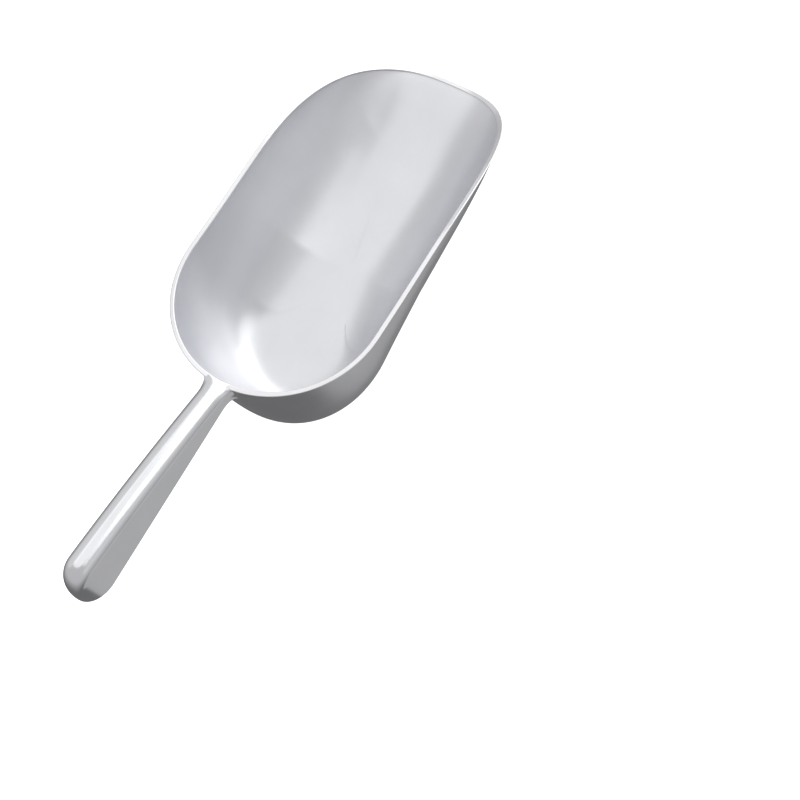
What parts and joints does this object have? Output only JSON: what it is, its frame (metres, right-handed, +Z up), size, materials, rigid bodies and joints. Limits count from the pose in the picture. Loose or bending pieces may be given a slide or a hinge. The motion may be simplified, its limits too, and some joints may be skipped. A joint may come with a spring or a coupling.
{
  "type": "ice scoop",
  "caption": "Cast aluminium ice scoop with a deep round-backed bowl, a wide front lip, a raised rim and a hollow-backed handle rising from the rim",
  "frame": {"origin": "under the middle of the whole scoop, on the flat part of the bowl's underside", "axes": "+X to the right across the bowl when looking toward the lip, +Y from the handle toward the front lip, +Z up"},
  "size_m": [0.116, 0.338, 0.0945],
  "materials": {
    "bowl_metal": "satin cast aluminium, lightly polished inside",
    "rim_metal": "ground and polished bright",
    "handle_metal": "polished cast aluminium"
  },
  "bodies": {
    "root": {"bowl": "bowl_metal", "rim": "rim_metal", "neck": "handle_metal", "handle": "handle_metal"}
  },
  "joints": []
}
